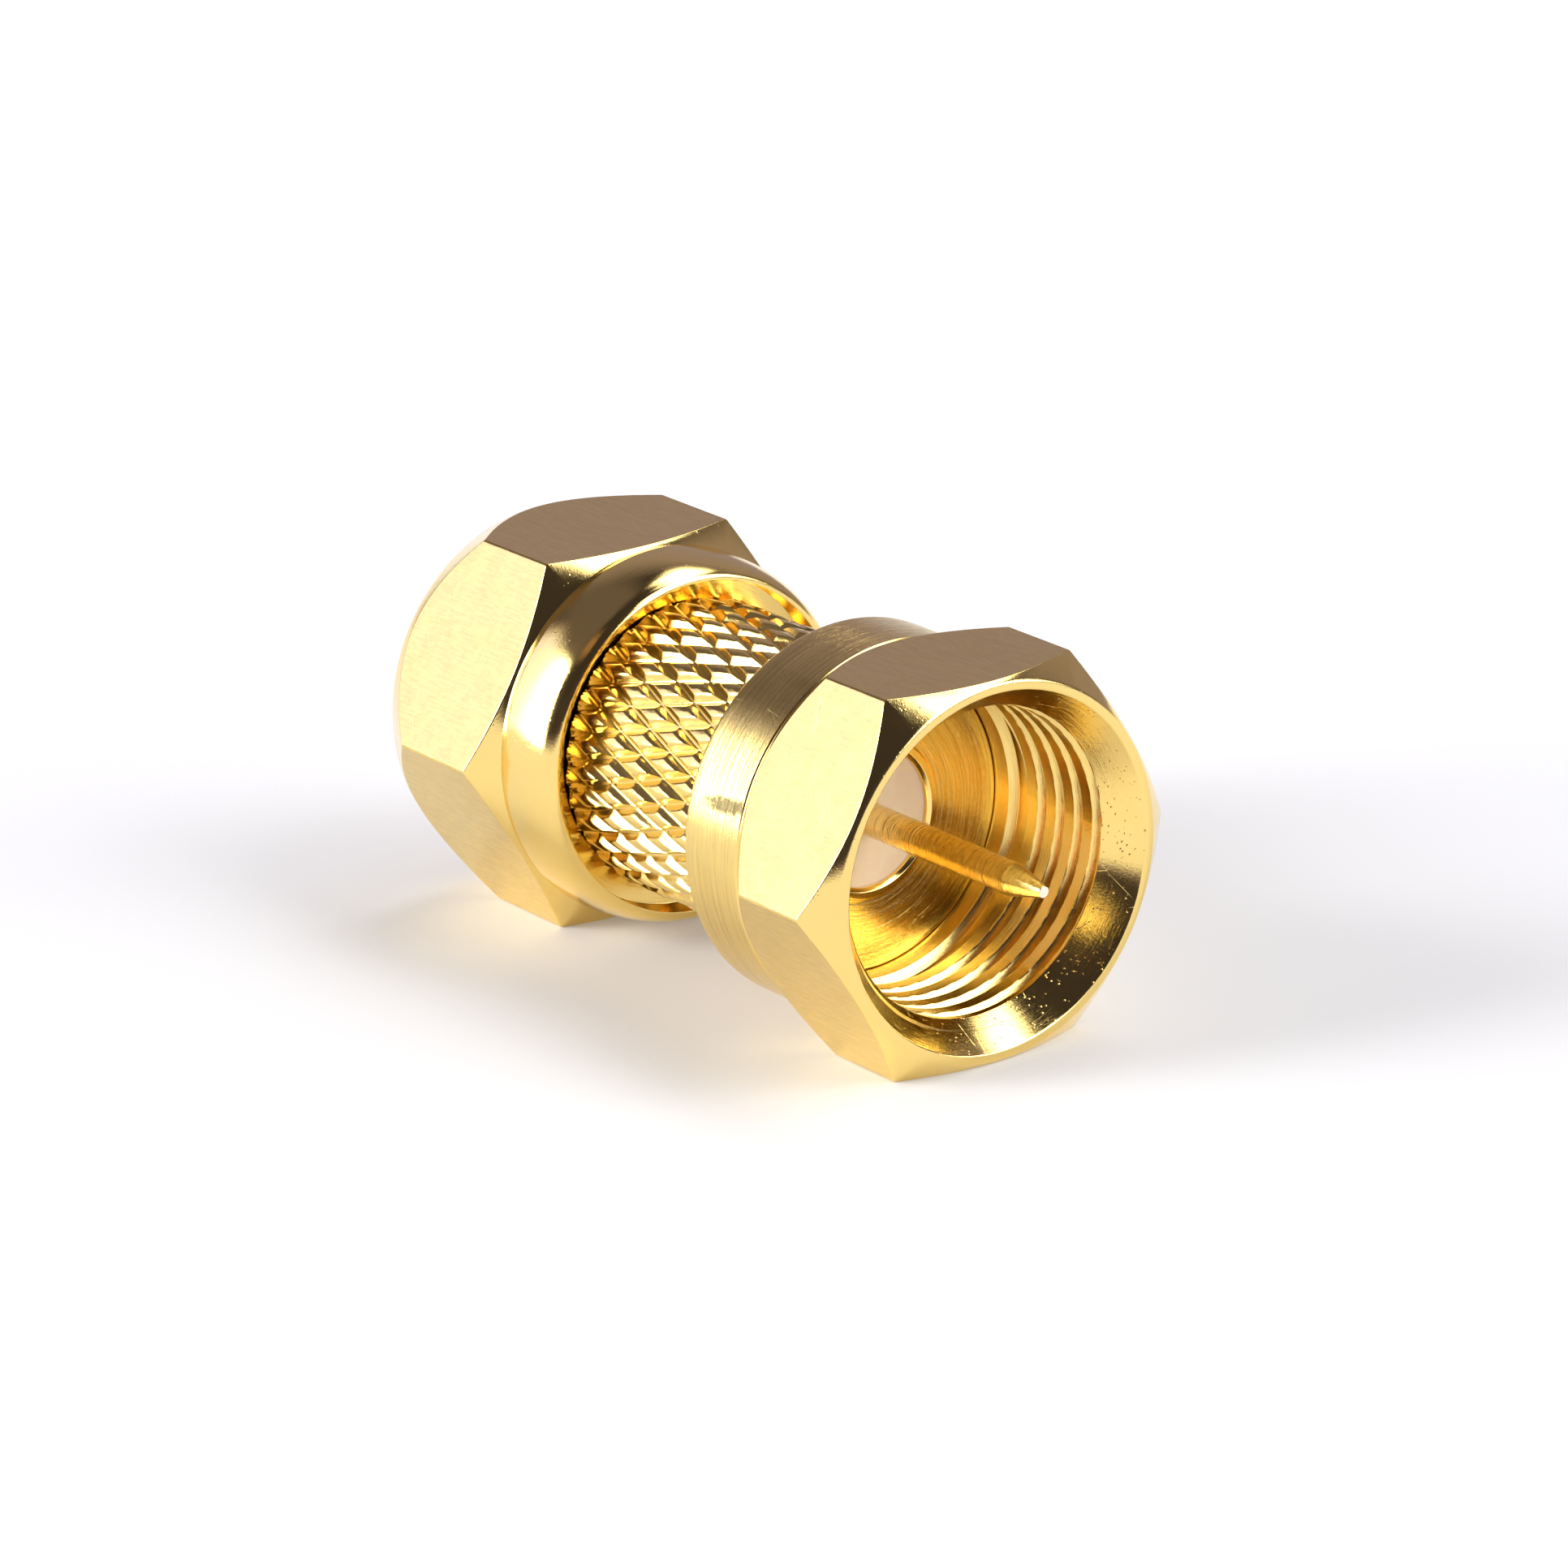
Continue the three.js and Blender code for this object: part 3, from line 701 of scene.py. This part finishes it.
# ---------------------------------------------------- posts, insulators, pin
def post(name):
    """Sleeve with a faced flange and a lip staked over the insulator."""
    sleeve = [(1.60, 2.07), (1.60, 2.80, 0.03, 2), (1.70, 2.90, 0.03, 2), (4.33, 2.90, 0.02, 2),
              (4.33, FLANGE_R, 0.02, 2), (SEAT - 0.03, FLANGE_R, 0.02, 2)]
    facing = []                           # uneven marks left by the lathe tool
    r = 4.37
    while r > 2.46:
        k = len(facing)
        depth = 0.0035 if k % 2 else 0.0
        facing.append((SEAT - depth * (1 + math.sin(k * 1.7)), r))
        r -= 0.05 + 0.035 * (1 + math.sin(k * 2.9))
    lip_top, inner_r = SEAT + LIP_HEIGHT, 1.99
    lip = [(SEAT, 2.36, 0.04, 3), (lip_top, 2.30, 0.05, 4), (lip_top, 2.10, 0.05, 4),
           (SEAT + 0.02, inner_r, 0.03, 3), (INSULATOR_FACE + 0.02, inner_r),
           (INSULATOR_FACE + 0.02, 2.07)]
    surfaces = [0] * len(sleeve) + [1] * len(facing) + [2] * len(lip)
    return turned_mesh(name, sleeve + facing + lip, [BORE_GOLD, SEAT_GOLD, LIP_GOLD],
                       surfaces, cols=180)


def insulator(name):
    """Slightly dished face, rounded edge and a small boss round the pin."""
    back, face, hole_r = 0.90, INSULATOR_FACE, 0.495
    profile = [(back, hole_r), (back, 1.95, 0.05, 2), (1.0, INSULATOR_R, 0.05, 2),
               (face, INSULATOR_R, 0.06, 4), (face - 0.015, 1.7), (face - 0.03, 1.2),
               (face - 0.02, 0.75, 0.05, 3), (face, 0.60, 0.03, 3), (face - 0.01, hole_r, 0.02, 2)]
    return turned_mesh(name, profile, [PLASTIC], cols=128)


def pin():
    """One piece through both ends, with conical tips and faint feed marks."""
    rng = np.random.default_rng(5)
    half = [(PIN_TIP, 0.0), (PIN_TIP, 0.165, 0.012, 1), (11.36, 0.452, 0.01, 1),
            (11.30, 0.470, 0.01, 1)]
    marked_r, mark_half = 0.4745, 0.018
    x = 11.24
    while x > INSULATOR_FACE + 0.15:      # feed marks, uneven in depth and spacing
        depth = float(rng.choice([0.0012, 0.0025, 0.005], p=[0.5, 0.35, 0.15]))
        half += [(x, marked_r), (x - mark_half, marked_r - depth), (x - 2 * mark_half, marked_r)]
        x -= 0.05 + float(rng.uniform(0.0, 0.10))
    half += [(4.8, PIN_R), (0.88, PIN_R, 0.02, 2), (0.88, PIN_MID_R, 0.03, 2)]
    profile = half + [(-corner[0], *corner[1:]) for corner in reversed(half)]
    surfaces = [0] * len(profile)
    surfaces[0] = surfaces[-2] = 1        # the flat ends, painted near white as a highlight
    return turned_mesh("pin_body", profile, [PIN_GOLD, TIP_HIGHLIGHT_GOLD], surfaces,
                       cols=72, sharp=20, closed=False)


keep(post("post_a_body"), "barrel", "post_a")
keep(turn_round(post("post_b_body")), "barrel", "post_b")
keep(insulator("insulator_a_body"), "barrel", "insulator_a")
keep(turn_round(insulator("insulator_b_body")), "barrel", "insulator_b")
keep(pin(), "barrel", "centre_pin")


# --------------------------------------------------------------------- stage
FLOOR_HALF = 1.2                           # metres


def make_floor():
    material = bpy.data.materials.new("stage_floor")
    Graph(material).principled({
        "Base Color": (0.68, 0.68, 0.69),
        "Emission Color": (0.97, 0.97, 1.0),
        "Emission Strength": 0.17,
        "Roughness": 0.9,
        "Specular IOR Level": 0.0})
    mesh = bpy.data.meshes.new("stage_floor")
    signs = ((-1, -1), (1, -1), (1, 1), (-1, 1))
    mesh.from_pydata([(x * FLOOR_HALF, y * FLOOR_HALF, FLOOR_Z) for x, y in signs],
                     [], [(0, 1, 2, 3)])
    mesh.materials.append(material)
    floor = bpy.data.objects.new("stage_floor", mesh)
    bpy.context.scene.collection.objects.link(floor)


# Soft boxes in the sky, in degrees; azimuth runs from +X towards +Y, and left and
# right are the camera's:
# azimuth, half width, elevation, half height, softness across, softness up
LEFT_BOX = (-131, 25, 17, 22, 8, 8)        # tall
RIGHT_BOX = (33, 21, 33, 25, 9, 8)
OVER_BOX = (92, 40, 60, 12, 12, 9)         # leans over the top at the back
HIGH_BOX = (-150, 50, 60, 22, 24, 12)
ROOM_BEHIND = (125, 60, 8, 38, 40, 26)
ROOM_NEAR = (-40, 50, 0, 34, 30, 20)       # round the camera
WARM_PATCH = (-80, 20, 57, 7, 12, 8)


def make_world():
    """Studio light as a procedural sky; the camera itself sees plain white."""
    world = bpy.data.worlds.new("studio")
    bpy.context.scene.world = world
    net = Graph(world)
    direction = net.new("ShaderNodeTexCoord").outputs["Generated"]
    dx, dy, dz = net.new("ShaderNodeSeparateXYZ", {0: direction}).outputs
    degrees = 180 / math.pi
    elevation = net.mul(net.math("ARCSINE", dz), degrees)
    azimuth = net.mul(net.math("ARCTAN2", dy, dx), degrees)

    def falloff(offset, half, soft):
        distance = net.math("ABSOLUTE", offset)
        return net.remap(distance, half - soft / 2, half + soft / 2, at_low=1, at_high=0)

    def soft_box(level, shape):
        box_azimuth, half_width, box_elevation, half_height, soft_across, soft_up = shape
        turn = net.math("WRAP", net.sub(azimuth, box_azimuth), 180.0, -180.0)
        across = falloff(turn, half_width, soft_across)
        up = falloff(net.sub(elevation, box_elevation), half_height, soft_up)
        return net.mul(net.mul(across, up), level)

    # the left box is dimmer at its edge away from the camera
    fade = net.math("POWER", net.remap(azimuth, -156, -119), 4.8)
    left = soft_box(net.add(net.mul(fade, 17.0), 1.20), LEFT_BOX)
    right = soft_box(5.1, RIGHT_BOX)
    over = soft_box(4.6, OVER_BOX)
    high = soft_box(0.09, HIGH_BOX)
    ambient = net.remap(elevation, -5, 5, at_low=0.9, at_high=0.04)   # bright below
    room = net.math("MAXIMUM", soft_box(0.30, ROOM_BEHIND), soft_box(0.05, ROOM_NEAR))
    level = net.math("MAXIMUM", reduce(net.add, (left, right, over, ambient, high)), room)

    # the dim room is a little rosy, the boxes white, the left box's dim edge cooler
    dim = net.remap(level, 0.32, 0.8, at_low=1, at_high=0)
    cool = net.mul(net.remap(azimuth, -146, -130, at_low=1, at_high=0),
                   net.remap(left, 0.4, 1.0))
    red, green, blue = [net.add(1.0, net.mul(dim, tint)) for tint in (0.06, -0.10, 0.14)]
    blue = net.add(blue, net.mul(cool, 0.6))
    shade = net.combine(*[net.mul(level, channel) for channel in (red, green, blue)])
    colour = net.mix(soft_box(1.0, WARM_PATCH), shade, (0.33, 0.20, 0.13))
    seen = net.new("ShaderNodeLightPath").outputs["Is Camera Ray"]
    background = net.new("ShaderNodeBackground", {
        "Color": net.mix(seen, colour, (1.0, 1.0, 1.0)), "Strength": 1.0})
    net.new("ShaderNodeOutputWorld", {0: background.outputs[0]})


# Camera: angles in degrees, azimuth from -Y towards +X
CAMERA_AZIMUTH, CAMERA_ELEVATION, CAMERA_ROLL = 53.39, 19.88, -1.675
CAMERA_DISTANCE = 200.8
CAMERA_TARGET = Vector((3.88, 0.0, 0.0))
CAMERA_LEFT, CAMERA_DOWN = 1.743, -0.691   # sideways offsets in the camera's own frame
SENSOR_WIDTH, LENS = 36.0, 165.931677


def make_camera():
    azimuth, elevation, roll = [math.radians(angle) for angle in
                                (CAMERA_AZIMUTH, CAMERA_ELEVATION, CAMERA_ROLL)]
    back = Vector((math.sin(azimuth) * math.cos(elevation),
                   -math.cos(azimuth) * math.cos(elevation), math.sin(elevation)))
    right = Vector((0, 0, 1)).cross(back).normalized()
    up = back.cross(right)
    right, up = (right * math.cos(roll) + up * math.sin(roll),
                 up * math.cos(roll) - right * math.sin(roll))
    place = back * CAMERA_DISTANCE - right * CAMERA_LEFT - up * CAMERA_DOWN + CAMERA_TARGET
    data = bpy.data.cameras.new("camera")
    data.sensor_width = SENSOR_WIDTH
    data.lens = LENS
    data.clip_start = 0.001
    data.clip_end = 10.0
    camera = bpy.data.objects.new("camera", data)
    matrix = Matrix((right, up, back)).transposed().to_4x4()
    matrix.translation = place * MM
    camera.matrix_world = matrix
    bpy.context.scene.collection.objects.link(camera)
    bpy.context.scene.camera = camera


make_floor()
make_world()
make_camera()
bpy.context.scene.view_settings.view_transform = "Standard"
